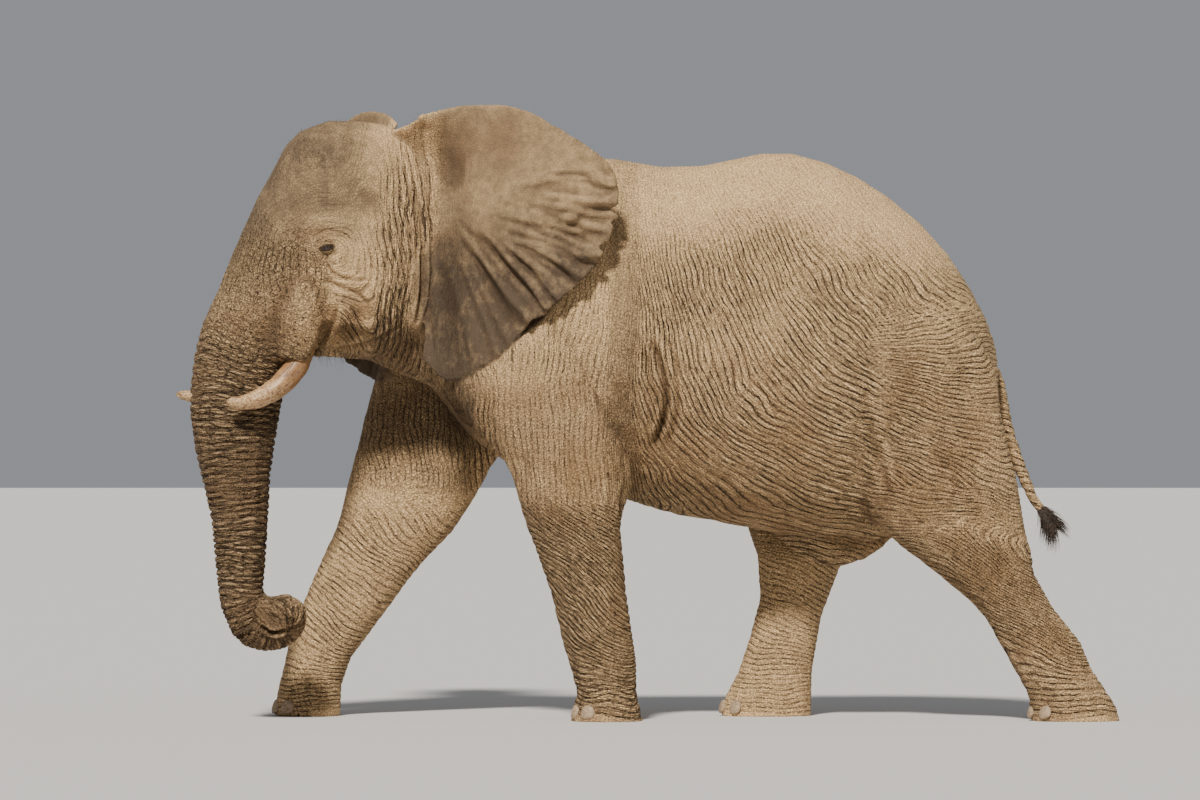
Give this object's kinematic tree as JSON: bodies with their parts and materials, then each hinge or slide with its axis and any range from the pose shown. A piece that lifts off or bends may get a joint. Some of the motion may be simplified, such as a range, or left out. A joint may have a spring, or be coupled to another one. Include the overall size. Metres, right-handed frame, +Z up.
{
  "type": "elephant",
  "caption": "Still, life-size model of a walking African bush elephant bull, trunk hanging, left ear folded back, right ear held forward.",
  "frame": {"origin": "middle of the whole outline, on the floor that the soles stand on", "axes": "+Z up; the elephant faces -Y and its left side is +X"},
  "size_m": [1.9982, 5.3626, 3.5121],
  "materials": {
    "hide": "dry, wrinkled, dusty hide",
    "ivory": "worn, stained ivory with a dull sheen",
    "eye": "wet, dark brown eye",
    "nail": "dull, scuffed horn",
    "hair": "coarse black hair"
  },
  "bodies": {
    "root": {"belly": "hide", "chest": "hide", "ear_left": "hide", "ear_right": "hide", "eye_left": "eye", "eye_right": "eye", "forearm_left": "hide", "forearm_right": "hide", "forefoot_left": "hide", "forefoot_right": "hide", "head": "hide", "hind_foot_left": "hide", "hind_foot_right": "hide", "lower_jaw": "hide", "nail_fore_left_1": "nail", "nail_fore_left_2": "nail", "nail_fore_left_3": "nail", "nail_fore_left_4": "nail", "nail_fore_right_1": "nail", "nail_fore_right_2": "nail", "nail_fore_right_3": "nail", "nail_fore_right_4": "nail", "nail_hind_left_1": "nail", "nail_hind_left_2": "nail", "nail_hind_left_3": "nail", "nail_hind_right_1": "nail", "nail_hind_right_2": "nail", "nail_hind_right_3": "nail", "neck": "hide", "rump": "hide", "shank_left": "hide", "shank_right": "hide", "sheath": "hide", "tail_end": "hide", "tail_middle": "hide", "tail_root": "hide", "tail_tuft": "hair", "thigh_left": "hide", "thigh_right": "hide", "trunk_lower": "hide", "trunk_middle": "hide", "trunk_tip": "hide", "trunk_upper": "hide", "tusk_left": "ivory", "tusk_right": "ivory", "upper_arm_left": "hide", "upper_arm_right": "hide"}
  },
  "joints": []
}
